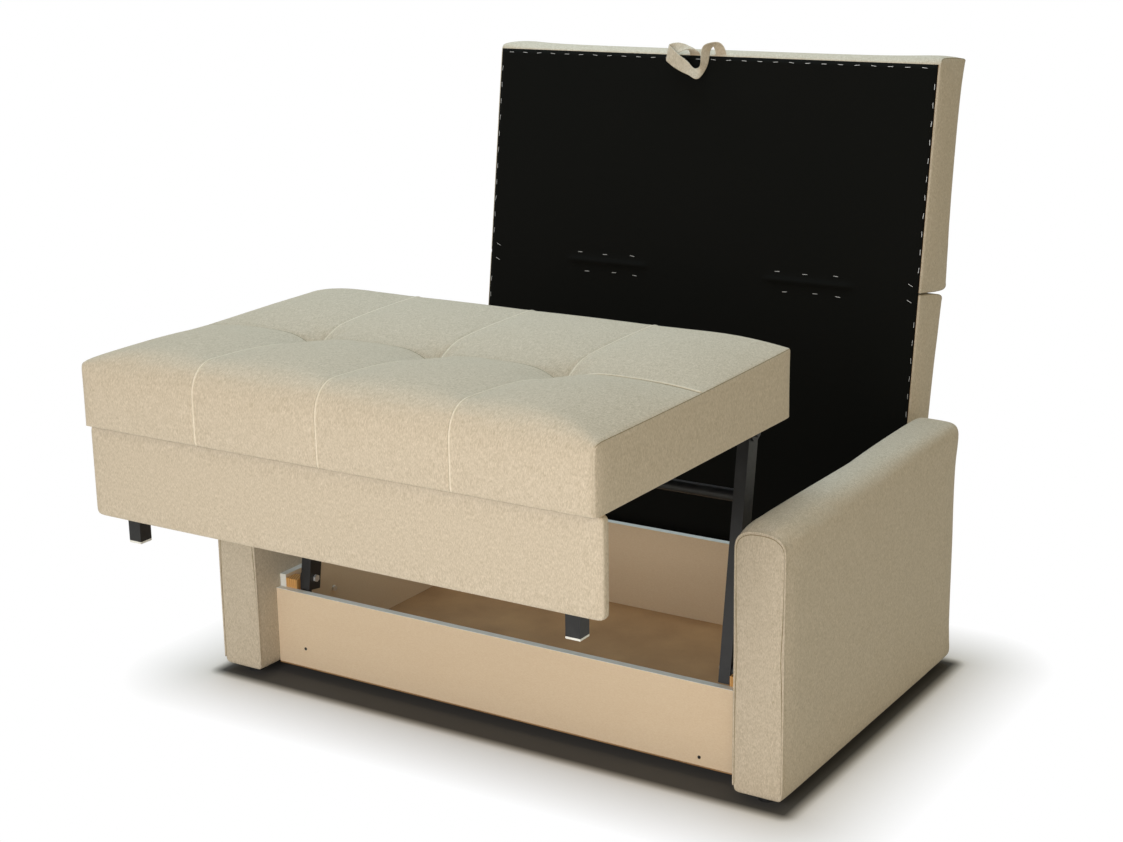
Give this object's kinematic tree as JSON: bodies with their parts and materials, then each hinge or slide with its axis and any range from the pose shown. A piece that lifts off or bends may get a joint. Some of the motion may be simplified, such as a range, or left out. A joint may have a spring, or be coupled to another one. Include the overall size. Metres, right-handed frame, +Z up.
{
  "type": "sofa bed",
  "caption": "Sofa bed with storage box: seat on swing arms over the box, padded armrests, and a back that unfolds upwards with a pull strap.",
  "frame": {"origin": "on the floor, in the middle of the object's plan in the stored pose", "axes": "+X to the right seen from the front, +Y to the back, +Z up"},
  "size_m": [1.4, 1.6233, 1.3424],
  "materials": {
    "cover_fabric": "woven, matt, fine vertical melange",
    "strap_fabric": "woven, matt",
    "chipboard": "raw sanded chipboard, fine speckle",
    "hardboard": "smooth brown hardboard",
    "pine": "sawn pine",
    "edge_band": "pale plastic edging",
    "black_steel": "black powder coat",
    "bright_steel": "zinc plated",
    "black_plastic": "moulded",
    "black_cloth": "spun-bonded lining cloth"
  },
  "bodies": {
    "base": {"box_front_panel": "chipboard", "box_side_left": "chipboard", "box_side_right": "chipboard", "box_rear_panel": "chipboard", "box_floor": "hardboard", "box_edge_bands": "edge_band", "box_glides": "black_plastic", "box_screws": "black_steel", "pivot_battens": "pine", "arm_brackets": "black_steel", "arm_pivot_studs": "bright_steel", "arm_pivot_nuts": "bright_steel", "armrest_left_frame": "pine", "armrest_right_frame": "pine", "armrest_left_boards": "chipboard", "armrest_right_boards": "chipboard", "armrest_left_cover": "cover_fabric", "armrest_right_cover": "cover_fabric", "armrest_base_cloths": "black_cloth", "armrest_glides": "black_plastic", "armrest_bolts": "bright_steel", "back_hinge_brackets": "black_steel", "back_hinge_pins": "bright_steel"},
    "swing_arms": {"swing_arm_left": "black_steel", "swing_arm_right": "black_steel", "cross_tube": "black_steel", "swing_arm_plugs": "black_plastic"},
    "seat": {"seat_frame": "pine", "seat_springs": "bright_steel", "seat_spring_clips": "black_plastic", "seat_cushion": "cover_fabric", "seat_base_cloth": "black_cloth", "seat_hinge_plates": "black_steel", "seat_pivot_bolts": "bright_steel", "seat_pivot_nuts": "bright_steel", "seat_leg_blocks": "pine", "apron_board": "chipboard", "apron_cover": "cover_fabric", "front_leg_left": "black_steel", "front_leg_right": "black_steel", "leg_caps": "edge_band"},
    "back_lower": {"back_lower_frame": "pine", "back_lower_belts": "black_cloth", "back_lower_cushion": "cover_fabric", "back_lower_cloth": "black_cloth", "back_lower_staples": "bright_steel", "fold_webbing_lower": "black_cloth", "fold_rods": "bright_steel", "back_hinge_plates": "black_steel"},
    "back_upper": {"back_upper_frame": "pine", "back_upper_belts": "black_cloth", "back_upper_cushion": "cover_fabric", "back_upper_cloth": "black_cloth", "back_upper_staples": "bright_steel", "fold_webbing_upper": "black_cloth", "pull_strap": "strap_fabric"}
  },
  "joints": [
    {"name": "seat_swing", "type": "hinge", "parent": "base", "child": "swing_arms", "pos_m": [0, -0.22481, 0.221], "axis": [1, 0, 0], "range_deg": [-81.3, 98.7]},
    {"name": "seat_level", "type": "hinge", "parent": "swing_arms", "child": "seat", "pos_m": [0, -0.15342, 0.68757], "axis": [1, 0, 0], "range_deg": [-98.7, 81.3]},
    {"name": "back_recline", "type": "hinge", "parent": "base", "child": "back_lower", "pos_m": [0, 0.48919, 0.2225], "axis": [1, 0, 0], "range_deg": [0, 8]},
    {"name": "upper_fold", "type": "hinge", "parent": "back_lower", "child": "back_upper", "pos_m": [0, 0.58222, 0.82745], "axis": [-1, 0, 0], "range_deg": [-180, 0]}
  ],
  "couplings": [
    {"joint": "seat_level", "follows": "seat_swing", "ratio": -1}
  ]
}
